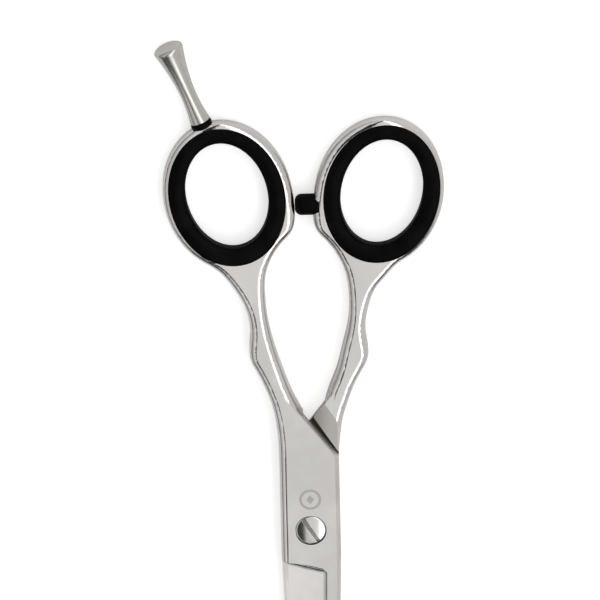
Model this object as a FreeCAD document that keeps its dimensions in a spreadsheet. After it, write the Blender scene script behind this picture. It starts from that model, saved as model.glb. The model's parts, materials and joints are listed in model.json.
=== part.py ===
import FreeCAD
import Part
import Sketcher
import math
import os

# Hair cutting shears, 6 inch class, closed.  Millimetres.
# Origin on the pivot axis at the underside, +Z towards the screw head, +Y towards the finger rings,
# blades towards -Y.  The front half carries the finger ring and lies on top at the blades.

Vector = FreeCAD.Vector
UP = Vector(0, 0, 1)

doc = FreeCAD.newDocument("HairShears")
sheet = doc.addObject("Spreadsheet::Sheet", "sizes")

SIZES = [
    # both halves
    ("thickness", 5.6),
    ("ride_gap", 0.04),
    ("ride_half", 5.7),
    ("ride_end", 15.0),
    ("edge_round", 1.35),
    ("thinning_start", 28.0),
    ("thinning_end", 55.0),
    ("strip_width", 3.6),
    # plate behind the screw, with its slanted end
    ("plate_corner_y", 14.4),
    ("plate_slant", 52.5),
    ("plate_slant_length", 18.0),
    ("plate_corner_round", 0.8),
    ("plate_edge_break", 0.18),
    ("plate_overlap", 0.7),
    ("thumb_wall_draft", 0.85),
    # step under the plate, and the ground facet beside it
    ("step_inset", 0.78),
    ("step_lead", 2.58),
    ("step_angle", 57.6),
    ("facet_depth", 0.55),
    ("facet_run", 3.4),
    # blades
    ("blade_length", 68.2),
    ("blade_fullness", 1.7),
    ("blade_roundness", 0.7),
    ("tip_start_share", 0.985),
    ("heel_y", 7.8),
    ("edge_inset_heel", 1.06),
    ("edge_inset_tip", 0.1),
    ("tip_thickness", 1.2),
    ("land_width", 2.3),
    ("land_step", 0.1),
    ("edge_land", 0.12),
    ("grind_corner", 1.6),
    ("grind_runout", 1.6),
    ("grind_lean", 8.5),
    ("spine_bevel", 0.8),
    ("hollow_depth", 0.15),
    ("hollow_start", 11.0),
    # rings
    ("ring_long", 15.3),
    ("ring_short", 12.2),
    ("ring_lean", 11.5),
    ("ring_thickness", 3.6),
    ("ring_y", 68.2),
    ("finger_ring_x", 14.3),
    ("thumb_ring_x", 14.42),
    ("ring_wall", 2.3),
    ("finger_hole_shift", 0.16),
    ("thumb_hole_shift", 0.5),
    ("hole_lift", 0.18),
    # rubber inserts
    ("lip_inset", 1.17),
    ("lip_height", 0.65),
    ("lip_drop", 0.1),
    ("lip_round", 0.38),
    ("hole_inset", 4.27),
    ("hole_round", 1.1),
    ("insert_fit", 0.02),
    # finger rest
    ("rest_place", 7.5),
    ("rest_lean", 21.1),
    ("rest_length", 16.85),
    ("rest_base_radius", 1.95),
    ("rest_waist_radius", 1.5),
    ("rest_waist_share", 0.33),
    ("rest_neck_hollow", 0.22),
    ("rest_end_radius", 2.95),
    ("rest_dome", 0.95),
    ("rest_rim_round", 0.25),
    ("rest_stud_wall", 0.15),
    ("rest_stud_grip", 1.6),
    ("rest_seat_sink", 0.35),
    ("rest_washer_height", 1.1),
    ("rest_washer_radius", 2.05),
    # stop bumper
    ("bumper_drop", 2.2),
    ("bumper_radius", 2.05),
    ("bumper_nose_gap", 0.32),
    ("bumper_nose_round", 1.4),
    ("bumper_seat_sink", 0.92),
    ("bumper_stem_radius", 0.8),
    ("bumper_stem_length", 0.9),
    # pivot
    ("head_radius", 2.925),
    ("head_height", 1.15),
    ("head_dome", 0.2),
    ("head_below", 0.12),
    ("slot_width", 0.65),
    ("slot_depth", 0.7),
    ("slot_angle", 127.0),
    ("thread_radius", 1.5),
    ("thread_end", 0.15),
    ("shoulder_step", 0.25),
    ("tension_washer_sheet", 0.1),
    ("tension_washer_rise", 0.06),
    ("tension_washer_play", 0.255),
    ("bush_wall", 0.55),
    ("glide_radius", 4.0),
    ("glide_sink", 0.3),
    ("pellet_radius", 0.4),
    ("pellet_height", 1.3),
    # clearances
    ("running_fit", 0.03),
    ("loose_fit", 0.08),
    ("face_gap", 0.01),
    # how far a cutting shape passes what it cuts
    ("overcut", 1.0),
]

# Sizes that follow from others, as expressions on the sheet.
SHOULDER_RADIUS = "(sizes.thread_radius + sizes.shoulder_step)"
WASHER_SPACE = "(sizes.tension_washer_sheet + sizes.tension_washer_rise + 2 * sizes.face_gap)"
STUD_RADIUS = "(sizes.ring_thickness / 2 - sizes.lip_height - sizes.rest_stud_wall)"
RING_REACH = ("sqrt((sizes.ring_short * cos(sizes.ring_lean))^2"
              " + (sizes.ring_long * sin(sizes.ring_lean))^2)")
BUMPER_SEAT_X = "(sizes.thumb_ring_x - " + RING_REACH + " + sizes.bumper_seat_sink)"
BUMPER_NOSE_X = "(sizes.finger_ring_x - " + RING_REACH + " - sizes.bumper_nose_gap)"

for row, (name, number) in enumerate(SIZES, start=1):
    sheet.set("A%d" % row, name)
    sheet.set("B%d" % row, str(number))
    sheet.setAlias("B%d" % row, name)
doc.recompute()


def size(name):
    return float(getattr(sheet, name))


def evaluate(text):
    """The value of an expression on the sheet."""
    return float(sheet.evalExpression(text))


thickness = size("thickness")
middle = thickness / 2
ride_face = middle + size("ride_gap") / 2
far = 10 * thickness
overcut = size("overcut")
tiny = 1e-3


# ---------------------------------------------------------------- outlines of the two handles

# Shank points are (along, aside): along is 0 at the end of the ride and 1 at the foot of the ring,
# aside is 0 on the line of the ride's outer edge and 1 on the line of the ring's centre.
FINGER_OUTER = [(0.12, 0.02), (0.2, 0.061), (0.29, 0.148), (0.38, 0.291), (0.47, 0.479), (0.51, 0.566),
                (0.55, 0.602), (0.65, 0.576), (0.77, 0.637), (0.85, 0.785), (0.94, 1.04)]
FINGER_INNER = [(0.98, 0.194), (0.87, 0.229), (0.77, 0.204), (0.66, 0.127), (0.55, 0.005),
                (0.445, -0.138), (0.335, -0.306), (0.255, -0.464), (0.18, -0.612), (0.1, -0.704)]
THUMB_OUTER = [(0.11, 0.042), (0.195, 0.099), (0.28, 0.209), (0.365, 0.344), (0.45, 0.532),
               (0.495, 0.637), (0.535, 0.689), (0.62, 0.657), (0.71, 0.647), (0.795, 0.72),
               (0.88, 0.866), (0.96, 1.148)]
THUMB_INNER = [(0.98, 0.219), (0.865, 0.292), (0.75, 0.287), (0.665, 0.23), (0.58, 0.136), (0.455, 0),
               (0.41, -0.073), (0.325, -0.214), (0.28, -0.271), (0.2, -0.324)]

# The boss beside the ring, in shares of the ring's long and short half axes from its centre.
BOSS = [(-0.305, 0.975), (-0.51, 0.92), (-0.63, 0.84), (-0.71, 0.715), (-0.82, 0.55), (-0.955, 0.405)]

# Where the shank's edges leave the ring, in degrees round it from its far end.
RING_JOIN_OUTER = 145.0
RING_JOIN_INNER = -88.0

# Where the blade's outline and its sections are taken, in shares of its length.
OUTLINE_SHARES = (0.0, 0.12, 0.28, 0.45, 0.62, 0.78, 0.90, 0.955)
SECTION_SHARES = (0.0, 0.2, 0.4, 0.6, 0.8, 0.93, 1.03)


def ring_frame(ring_x):
    """Centre, long axis and cross axis of a ring on the finger side."""
    lean = math.radians(size("ring_lean"))
    centre = Vector(-ring_x, size("ring_y"), 0)
    along = Vector(-math.sin(lean), math.cos(lean), 0)
    across = Vector(-math.cos(lean), -math.sin(lean), 0)
    return centre, along, across


def ring_point(ring_x, angle, inset=0.0):
    centre, along, across = ring_frame(ring_x)
    turn = math.radians(angle)
    return (centre + along * ((size("ring_long") - inset) * math.cos(turn))
            + across * ((size("ring_short") - inset) * math.sin(turn)))


def ring_tangent(angle):
    centre, along, across = ring_frame(0)
    turn = math.radians(angle)
    way = along * (-size("ring_long") * math.sin(turn)) + across * (size("ring_short") * math.cos(turn))
    return way.normalize()


def ring_ellipse(ring_x, inset=0.0, lift=0.0):
    centre, along, across = ring_frame(ring_x)
    centre = centre + Vector(0, lift, 0)
    return Part.Ellipse(centre + along * (size("ring_long") - inset),
                        centre + across * (size("ring_short") - inset), centre)


def shank_point(ring_x, along, aside):
    foot = size("ring_y") - size("ring_long") * math.cos(math.radians(size("ring_lean")))
    y = size("ride_end") + along * (foot - size("ride_end"))
    x = size("ride_half") + aside * (ring_x - size("ride_half"))
    return Vector(-x, y, 0)


def spline(points, start, end):
    curve = Part.BSplineCurve()
    curve.interpolate(Points=points, InitialTangent=start, FinalTangent=end)
    return curve


def thinning_tool(above):
    """What comes off the handle's upper or lower face, as it thins from the ride to the ring."""
    start = size("thinning_start")
    end = size("thinning_end")
    drop = (thickness - size("ring_thickness")) / 2
    level = Vector(-far, start, thickness)
    low = Vector(-far, end, thickness - drop)
    last = Vector(-far, 3 * end, thickness - drop)
    curve = Part.BSplineCurve()
    curve.interpolate(Points=[level, (level + low) / 2, low], InitialTangent=Vector(0, 1, 0),
                      FinalTangent=Vector(0, 1, 0))
    lid = UP * thickness
    edges = [curve.toShape()]
    path = [low, last, last + lid, level + lid, level]
    edges += [Part.LineSegment(a, b).toShape() for a, b in zip(path, path[1:])]
    tool = Part.Face(Part.Wire(edges)).extrude(Vector(2 * far, 0, 0))
    if above:
        return tool
    return tool.mirror(UP * (thickness / 2), UP)


def handle_solid(ring_x, outer, inner):
    """The handle with its ring still solid, and the strip that it runs on as beside the plate."""
    heel = -size("heel_y")
    left = -size("ride_half")
    right = left + size("strip_width")
    ride_corner = Vector(left, size("ride_end"), 0)
    join_outer = ring_point(ring_x, RING_JOIN_OUTER)
    join_inner = ring_point(ring_x, RING_JOIN_INNER)
    centre, along, across = ring_frame(ring_x)
    boss = [centre + along * (p * size("ring_long")) - across * (q * size("ring_short")) for p, q in BOSS]

    outer_points = [ride_corner] + [shank_point(ring_x, *p) for p in outer] + [join_outer]
    inner_points = [join_inner] + boss + [shank_point(ring_x, *p) for p in inner]
    inner_end = inner_points[-1]
    outer_edge = spline(outer_points, Vector(0, 1, 0), ring_tangent(RING_JOIN_OUTER) * -1)
    inner_edge = spline(inner_points, ring_tangent(RING_JOIN_INNER) * -1, inner_end - inner_points[-2])
    arc = Part.ArcOfEllipse(ring_ellipse(ring_x), math.radians(RING_JOIN_INNER),
                            math.radians(RING_JOIN_OUTER))
    corner_left = Vector(left, heel, 0)
    corner_right = Vector(right, heel, 0)
    corner_inner = Vector(right, inner_end.y, 0)
    edges = [Part.LineSegment(corner_left, ride_corner).toShape(),
             outer_edge.toShape(), arc.toShape(), inner_edge.toShape(),
             Part.LineSegment(inner_end, corner_inner).toShape(),
             Part.LineSegment(corner_inner, corner_right).toShape(),
             Part.LineSegment(corner_right, corner_left).toShape()]
    wire = Part.Wire(Part.__sortEdges__(edges))
    solid = Part.Face(wire).extrude(UP * thickness).cut([thinning_tool(True), thinning_tool(False)])

    rounded = []
    for edge in solid.Edges:
        box = edge.BoundBox
        upright = box.XLength < tiny and box.YLength < tiny
        crosswise = box.YLength < tiny
        inside = box.XLength < tiny and abs(box.XMin - right) < tiny
        if not (upright or crosswise or inside):
            rounded.append(edge)
    return solid.makeFillet(size("edge_round"), rounded)


# ---------------------------------------------------------------- blade

def half_width(y):
    """Half width of the closed blades at a distance y from the pivot towards the tip."""
    share = min(max(y / size("blade_length"), 0.0), size("tip_start_share"))
    return size("ride_half") * (1 - share ** size("blade_fullness")) ** size("blade_roundness")


def edge_inset(y):
    share = (y - size("heel_y")) / (size("blade_length") - size("heel_y"))
    return size("edge_inset_heel") + share * (size("edge_inset_tip") - size("edge_inset_heel"))


def blade_top(y):
    start = size("heel_y") / 2
    share = max(y - start, 0) / (size("blade_length") - start)
    return thickness - share ** 2 * (thickness - ride_face - size("tip_thickness"))


def plate_solid(wall_draft):
    """Plate and blade of a half, before grinding.  The slanted end wall leans by the draft."""
    slant = math.radians(size("plate_slant"))
    corner = Vector(size("ride_half"), size("plate_corner_y"), 0)
    slant_top = corner + Vector(-math.cos(slant), math.sin(slant), 0) * size("plate_slant_length")
    inner_x = -size("ride_half") + size("edge_round") + size("plate_overlap")
    heel = size("heel_y")
    length = size("blade_length")

    stations = [length * share for share in OUTLINE_SHARES + (size("tip_start_share"),)]
    spine_points = [Vector(half_width(y), -y, 0) for y in stations]
    edge_points = [Vector(edge_inset(y) - half_width(y), -y, 0) for y in stations if y > heel]
    edge_points.insert(0, Vector(edge_inset(heel) - half_width(heel), -heel, 0))
    spine = spline(spine_points, Vector(0, -1, 0), Vector(-0.5, -1, 0))
    cutting_edge = spline(edge_points, edge_points[1] - edge_points[0], Vector(0.5, -1, 0))
    tip = Part.Arc(spine_points[-1], Vector(0, -length, 0), edge_points[-1])
    path = [slant_top, corner, spine_points[0]]
    edges = [Part.LineSegment(a, b).toShape() for a, b in zip(path, path[1:])]
    edges += [spine.toShape(), tip.toShape(), cutting_edge.toShape()]
    path = [edge_points[0], Vector(inner_x, -heel, 0), Vector(inner_x, size("ride_end"), 0), slant_top]
    edges += [Part.LineSegment(a, b).toShape() for a, b in zip(path, path[1:])]
    wire = Part.Wire(Part.__sortEdges__(edges))
    solid = Part.Face(wire).extrude(UP * thickness)
    upright = [e for e in solid.Edges if (e.CenterOfMass - corner).cross(UP).Length < tiny]
    solid = solid.makeFillet(size("plate_corner_round"), upright)
    if wall_draft > 0:
        solid = solid.cut(slanted_wall_tool(wall_draft))
    along = slant_top - corner
    rims = [e for e in solid.Edges
            if abs(e.BoundBox.ZMin - thickness) < tiny and e.Length > size("ride_half")
            and (e.Vertexes[0].Point - e.Vertexes[-1].Point).cross(along).Length < tiny]
    return solid.makeChamfer(size("plate_edge_break"), rims)


def slanted_wall_tool(draft):
    """What a leaning end wall leaves off the plate: nothing at its foot, the draft at its top."""
    slant = math.radians(size("plate_slant"))
    corner = Vector(size("ride_half"), size("plate_corner_y"), 0)
    along = Vector(-math.cos(slant), math.sin(slant), 0)
    out = Vector(math.sin(slant), math.cos(slant), 0)
    start = corner - along * size("ride_half")
    corners = [start, start + out * far, start + out * far + UP * thickness,
               start - out * draft + UP * thickness]
    face = Part.Face(Part.makePolygon(corners + corners[:1]))
    return face.extrude(along * (2 * size("plate_slant_length")))


def loft(sections):
    wires = [Part.makePolygon(points + points[:1]) for points in sections]
    return Part.makeLoft(wires, True)


def blade_stations():
    heel = size("heel_y")
    length = size("blade_length")
    return [heel + share * (length - heel) for share in SECTION_SHARES]


def grind_tool():
    """The space above the ground slope that runs from the land down to the cutting edge."""
    beyond = 2 * overcut
    above = thickness + 4 * size("grind_runout")
    lean = math.radians(size("grind_lean"))
    sections = []
    for y in blade_stations():
        wide = half_width(y)
        land = wide - size("land_width") * wide / size("ride_half")
        land_z = blade_top(y) - size("land_step")
        edge = edge_inset(y) - wide
        edge_z = ride_face + size("edge_land")
        slope = (land_z - edge_z) / (land - edge)
        low = Vector(edge - beyond, -y, edge_z - slope * beyond)
        if not sections:
            low.y += (land - low.x) * math.tan(lean)
        sections.append([Vector(land, -y, land_z), low, Vector(low.x, low.y, above), Vector(land, -y, above)])
    tool = loft(sections)
    heel_land = sections[0][0]
    upright = [e for e in tool.Edges if (e.CenterOfMass - heel_land).cross(UP).Length < tiny]
    tool = tool.makeFillet(size("grind_corner"), upright)
    heel_normal = Vector(math.sin(lean), math.cos(lean), 0)
    foot = [e for e in tool.Edges
            if all(abs((v.Point - heel_land).dot(heel_normal)) < tiny for v in e.Vertexes)
            and e.CenterOfMass.z < thickness]
    return tool.makeFillet(size("grind_runout"), foot)


def bevel_tool():
    """The wedge taken off the upper edge of the spine."""
    sections = []
    for y in [-size("plate_corner_y") - 2 * overcut, 0.0] + blade_stations():
        wide = half_width(y)
        bevel = size("spine_bevel") * wide / size("ride_half")
        top = blade_top(y)
        sections.append([Vector(wide - bevel - overcut, -y, top + overcut),
                         Vector(wide + overcut, -y, top - bevel - overcut),
                         Vector(wide + overcut, -y, top + overcut)])
    return loft(sections)


def taper_tool():
    """What lies above the blade, which thins towards its tip."""
    start = size("heel_y") / 2
    end = size("blade_length") + overcut
    points = [Vector(-far, -(start + share * (end - start)), 0) for share in (0.0, 0.33, 0.66, 1.0)]
    for point in points:
        point.z = blade_top(-point.y)
    curve = spline(points, Vector(0, -1, 0), points[-1] - points[-2])
    above = UP * thickness
    edges = [curve.toShape(),
             Part.LineSegment(points[-1], points[-1] + above).toShape(),
             Part.LineSegment(points[-1] + above, points[0] + above).toShape(),
             Part.LineSegment(points[0] + above, points[0]).toShape()]
    return Part.Face(Part.Wire(edges)).extrude(Vector(2 * far, 0, 0))


def hollow_tool():
    """A long shallow cylinder, tilted so that the hollow fades out towards the tip."""
    start = size("hollow_start")
    end = size("blade_length") + 2 * overcut
    chord = half_width(start) - size("edge_inset_heel")
    depth = size("hollow_depth")
    radius = chord ** 2 / (2 * depth)
    base = Vector(edge_inset(start) / 2, -start, ride_face + depth - radius)
    tip = Vector(edge_inset(end) / 2, -end, ride_face - radius)
    return Part.makeCylinder(radius, (tip - base).Length, base, tip - base)


# ---------------------------------------------------------------- step, facet and openings

def step_foot():
    """A point of the step, beside the corner of the other half's plate."""
    return Vector(size("step_inset") - size("ride_half"), size("plate_corner_y") + size("step_lead"), 0)


def step_tool():
    """What the other half's plate takes up: everything under the ride, up to the slanted wall."""
    angle = math.radians(size("step_angle"))
    along = Vector(math.cos(angle), math.sin(angle), 0)
    out = Vector(math.sin(angle), -math.cos(angle), 0)
    foot = step_foot() - UP * overcut
    reach = 3 * size("blade_length")
    corners = [foot - along * reach, foot + along * reach, foot + along * reach + out * reach,
               foot - along * reach + out * reach]
    face = Part.Face(Part.makePolygon(corners + corners[:1]))
    return face.extrude(UP * (ride_face + overcut))


def facet_tool():
    """The shallow wedge ground off the handle's underside beside the step."""
    angle = math.radians(size("step_angle"))
    along = Vector(math.cos(angle), math.sin(angle), 0)
    back = Vector(-math.sin(angle), math.cos(angle), 0)
    foot = step_foot() - along * far
    depth = size("facet_depth")
    run = size("facet_run")
    before = foot - back * overcut
    after = foot + back * (2 * run)
    corners = [before + UP * (depth * (1 + overcut / run)), after - UP * depth, after - UP * (2 * depth),
               before - UP * (2 * depth)]
    return Part.Face(Part.makePolygon(corners + corners[:1])).extrude(along * (2 * far))


def ellipse_plug(hole_x, inset, low, high):
    outline = Part.Wire(ring_ellipse(hole_x, inset, size("hole_lift")).toShape())
    plug = Part.Face(outline).extrude(UP * (high - low))
    plug.translate(UP * low)
    return plug


def ring_opening(hole_x):
    """Opening of a ring: a rib half way up, with a seat for the insert's lip above and below it."""
    rib = size("ring_thickness") / 2 - size("lip_height")
    through = ellipse_plug(hole_x, size("ring_wall"), -overcut, thickness + overcut)
    lower = ellipse_plug(hole_x, size("lip_inset"), -overcut, middle - rib)
    upper = ellipse_plug(hole_x, size("lip_inset"), middle + rib, thickness + overcut)
    return [through, lower, upper]


def half_solid(ring_x, hole_x, outer, inner, wall_draft, more_tools):
    """One half as the front half lies: ride and blade above, ring at -X."""
    body = handle_solid(ring_x, outer, inner).fuse(plate_solid(wall_draft)).removeSplitter()
    tools = [step_tool(), facet_tool(), taper_tool(), bevel_tool(), grind_tool(), hollow_tool()]
    return body.cut(tools + ring_opening(hole_x) + more_tools)


def round_bar(radius, start, end):
    return Part.makeCylinder(radius, (end - start).Length, start, end - start)


def upright_bar(radius, low, high):
    return Part.makeCylinder(radius, high - low, UP * low, UP)


# ---------------------------------------------------------------- where the fitted pieces sit

finger_x = size("finger_ring_x")
thumb_x = size("thumb_ring_x")
finger_hole_x = finger_x + size("finger_hole_shift")
thumb_hole_x = thumb_x + size("thumb_hole_shift")

rest_way = Vector(-math.sin(math.radians(size("rest_lean"))), math.cos(math.radians(size("rest_lean"))), 0)
rest_seat = ring_point(finger_x, size("rest_place")) + UP * middle - rest_way * size("rest_seat_sink")
rest_foot = rest_seat + rest_way * size("rest_washer_height")

bumper_seat = Vector(evaluate(BUMPER_SEAT_X), size("ring_y") - size("bumper_drop"), middle)

head_foot_z = thickness - size("head_below") - size("head_height")
head_seat_z = head_foot_z - evaluate(WASHER_SPACE)
head_top_z = thickness - size("head_below") + size("head_dome")
glide_floor_z = thickness - ride_face - size("glide_sink")
glide_top_z = ride_face - size("face_gap")
head_bore = size("head_radius") + size("loose_fit")
bush_bore = evaluate(SHOULDER_RADIUS) + size("running_fit")
stud_radius = evaluate(STUD_RADIUS)


# ---------------------------------------------------------------- document helpers

def add_shape(label, shape, placement=None):
    feature = doc.addObject("Part::Feature", label)
    feature.Shape = shape
    feature.Placement = placement or FreeCAD.Placement()
    return feature


def add(kind, label, **expressions):
    """A Part object whose properties are bound to expressions on the sheet."""
    item = doc.addObject(kind, label)
    for name, text in expressions.items():
        item.setExpression(name.replace("_", "."), text)
    return item


def cut(label, base, tool):
    item = doc.addObject("Part::Cut", label)
    item.Base = base
    item.Tool = tool
    return item


def fuse(label, pieces):
    item = doc.addObject("Part::MultiFuse", label)
    item.Shapes = pieces
    return item


def tube(label, outer, inner, length, place):
    """A ring or sleeve, with its sizes as expressions, standing at a placement."""
    outside = add("Part::Cylinder", label + "_outside", Radius=outer, Height=length)
    inside = add("Part::Cylinder", label + "_inside", Radius=inner, Height=length)
    outside.Placement = place
    inside.Placement = place
    return cut(label, outside, inside)


def lathe(label, corners):
    """A body turned about its own Z axis.  Each corner is (radius, height), as sheet expressions."""
    body = doc.addObject("PartDesign::Body", label)
    sketch = body.newObject("Sketcher::SketchObject", label + "_profile")
    plane = [f for f in body.Origin.OriginFeatures if f.Role == "XZ_Plane"][0]
    sketch.AttachmentSupport = (plane, [""])
    sketch.MapMode = "FlatFace"
    spots = [Vector(evaluate(r), evaluate(z), 0) for r, z in corners]
    count = len(spots)
    for i in range(count):
        sketch.addGeometry(Part.LineSegment(spots[i], spots[(i + 1) % count]), False)
    for i in range(count):
        sketch.addConstraint(Sketcher.Constraint("Coincident", i, 2, (i + 1) % count, 1))
    for i, (radius, height) in enumerate(corners):
        for kind, text, number in (("DistanceX", radius, spots[i].x), ("DistanceY", height, spots[i].y)):
            index = sketch.addConstraint(Sketcher.Constraint(kind, -1, 1, i, 1, number))
            sketch.setExpression("Constraints[%d]" % index, text)
    doc.recompute()
    turned = body.newObject("PartDesign::Revolution", label + "_turned")
    turned.Profile = sketch
    turned.ReferenceAxis = (sketch, ["V_Axis"])
    turned.Angle = 360
    doc.recompute()
    return body


def standing_at(point, way):
    """The placement that carries +Z onto a direction at a point."""
    return FreeCAD.Placement(point, FreeCAD.Rotation(UP, way))


# ---------------------------------------------------------------- halves

def front_half():
    wall = size("ring_wall") + size("rest_seat_sink")
    tools = [upright_bar(head_bore, head_seat_z, thickness + overcut),
             upright_bar(bush_bore + size("bush_wall"), -overcut, thickness),
             round_bar(size("rest_washer_radius") + size("loose_fit"), rest_seat, rest_foot + rest_way),
             round_bar(stud_radius + size("running_fit"), rest_seat - rest_way * wall, rest_foot)]
    shape = half_solid(finger_x, finger_hole_x, FINGER_OUTER, FINGER_INNER, 0.0, tools)
    return add_shape("front_half", shape)


def rear_half():
    seat = Vector(-bumper_seat.x, bumper_seat.y, middle)
    stem_end = seat - Vector(size("bumper_stem_length") + size("face_gap"), 0, 0)
    tools = [upright_bar(size("thread_radius") + size("running_fit"), -overcut, thickness + overcut),
             upright_bar(size("glide_radius") + size("loose_fit"), -overcut, thickness - glide_floor_z),
             round_bar(size("bumper_radius") + size("face_gap"), seat, Vector(0, seat.y, middle)),
             round_bar(size("bumper_stem_radius") + size("face_gap"), stem_end, seat)]
    shape = half_solid(thumb_x, thumb_hole_x, THUMB_OUTER, THUMB_INNER, size("thumb_wall_draft"), tools)
    turned_over = FreeCAD.Placement(UP * thickness, FreeCAD.Rotation(Vector(0, 1, 0), 180))
    return add_shape("rear_half", shape, turned_over)


# ---------------------------------------------------------------- rubber pieces

def ellipse_block(label, inset, low, high, place):
    outline = add("Part::Ellipse", label + "_outline",
                  MajorRadius="sizes.ring_long - (%s)" % inset, MinorRadius="sizes.ring_short - (%s)" % inset)
    outline.Placement = place
    outline.setExpression("Placement.Base.z", low)
    block = doc.addObject("Part::Extrusion", label)
    block.Base = outline
    block.DirMode = "Custom"
    block.Dir = UP
    block.Solid = True
    block.setExpression("LengthFwd", "(%s) - (%s)" % (high, low))
    return block


def ring_insert(label, centre_x, lean):
    place = FreeCAD.Placement(Vector(centre_x, size("ring_y") + size("hole_lift"), 0),
                              FreeCAD.Rotation(UP, 90 + lean))
    centre = "sizes.thickness / 2"
    half = "(sizes.ring_thickness / 2 - sizes.lip_drop)"
    rib = "(sizes.ring_thickness / 2 - sizes.lip_height)"
    lip = "sizes.lip_inset + sizes.insert_fit"
    lower = ellipse_block(label + "_lower", lip, centre + " - " + half, centre + " - " + rib, place)
    waist = ellipse_block(label + "_waist", "sizes.ring_wall + sizes.insert_fit",
                          centre + " - " + half, centre + " + " + half, place)
    upper = ellipse_block(label + "_upper", lip, centre + " + " + rib, centre + " + " + half, place)
    opening = ellipse_block(label + "_opening", "sizes.hole_inset",
                            centre + " - " + half + " - sizes.overcut",
                            centre + " + " + half + " + sizes.overcut", place)
    blank = cut(label + "_blank", fuse(label + "_stack", [lower, waist, upper]), opening)
    doc.recompute()
    rounded = doc.addObject("Part::Fillet", label)
    rounded.Base = blank
    reach = size("ring_thickness") / 2 - size("lip_drop")
    edges = []
    for number, edge in enumerate(blank.Shape.Edges, start=1):
        box = edge.BoundBox
        if box.ZLength > tiny or abs(abs(box.ZMin - middle) - reach) > tiny:
            continue
        wide = edge.Length > math.pi * (size("ring_long") + size("ring_short") - 2 * size("ring_wall"))
        radius = size("lip_round") if wide else size("hole_round")
        edges.append((number, radius, radius))
    rounded.Edges = edges
    return rounded


def stop_bumper():
    """Rubber stop on the thumb ring: turned about Z, then laid along X."""
    stem_foot = "0"
    seat = "sizes.bumper_stem_length"
    nose = "sizes.bumper_stem_length + " + BUMPER_SEAT_X + " + " + BUMPER_NOSE_X
    body = lathe("stop_bumper", [("0", stem_foot), ("sizes.bumper_stem_radius", stem_foot),
                                 ("sizes.bumper_stem_radius", seat), ("sizes.bumper_radius", seat),
                                 ("sizes.bumper_radius", nose), ("0", nose)])
    turned = body.Tip
    edges = ["Edge%d" % i for i, e in enumerate(turned.Shape.Edges, start=1)
             if abs(e.BoundBox.ZMin - evaluate(nose)) < tiny and e.BoundBox.ZLength < tiny]
    rounded = body.newObject("PartDesign::Fillet", "stop_bumper_nose")
    rounded.Base = (turned, edges)
    rounded.setExpression("Radius", "sizes.bumper_nose_round")
    foot = bumper_seat + Vector(size("bumper_stem_length"), 0, 0)
    body.Placement = standing_at(foot, Vector(-1, 0, 0))
    return body


# ---------------------------------------------------------------- finger rest

def finger_rest():
    """The flared rest with its threaded stud, turned about its own axis."""
    length = size("rest_length")
    dome = size("rest_dome")
    base = Vector(size("rest_base_radius"), 0, 0)
    waist = Vector(size("rest_waist_radius"), 0, length * size("rest_waist_share"))
    rim = Vector(size("rest_end_radius"), 0, length - dome)
    neck = (waist + rim) / 2 - Vector((rim.x - waist.x) * size("rest_neck_hollow"), 0, 0)
    tip = Vector(0, 0, length)
    ball = (rim.x ** 2 + dome ** 2) / (2 * dome)
    half_turn = math.asin(rim.x / ball) / 2
    over = tip + Vector(ball * math.sin(half_turn), 0, ball * (math.cos(half_turn) - 1))
    stud = size("rest_washer_height") + size("rest_stud_grip")
    narrowing = Vector(2 * (waist.x - base.x), 0, waist.z)
    flare = Vector(2 * (rim.x - neck.x), 0, rim.z - neck.z)
    side = spline([base, waist, neck, rim], narrowing, flare)
    path = [tip, Vector(0, 0, -stud), Vector(stud_radius, 0, -stud), Vector(stud_radius, 0, 0), base]
    edges = [Part.LineSegment(a, b).toShape() for a, b in zip(path, path[1:])]
    edges += [side.toShape(), Part.Arc(rim, over, tip).toShape()]
    profile = Part.Face(Part.Wire(Part.__sortEdges__(edges)))
    shape = profile.revolve(Vector(), UP, 360)
    rims = [e for e in shape.Edges if abs(e.BoundBox.ZMin - rim.z) < tiny and e.BoundBox.ZLength < tiny]
    shape = shape.makeFillet(size("rest_rim_round"), rims)
    return add_shape("finger_rest", shape, standing_at(rest_foot, rest_way))


def finger_rest_washer():
    return tube("finger_rest_washer", "sizes.rest_washer_radius",
                STUD_RADIUS + " + sizes.running_fit", "sizes.rest_washer_height",
                standing_at(rest_seat, rest_way))


# ---------------------------------------------------------------- pivot

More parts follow.
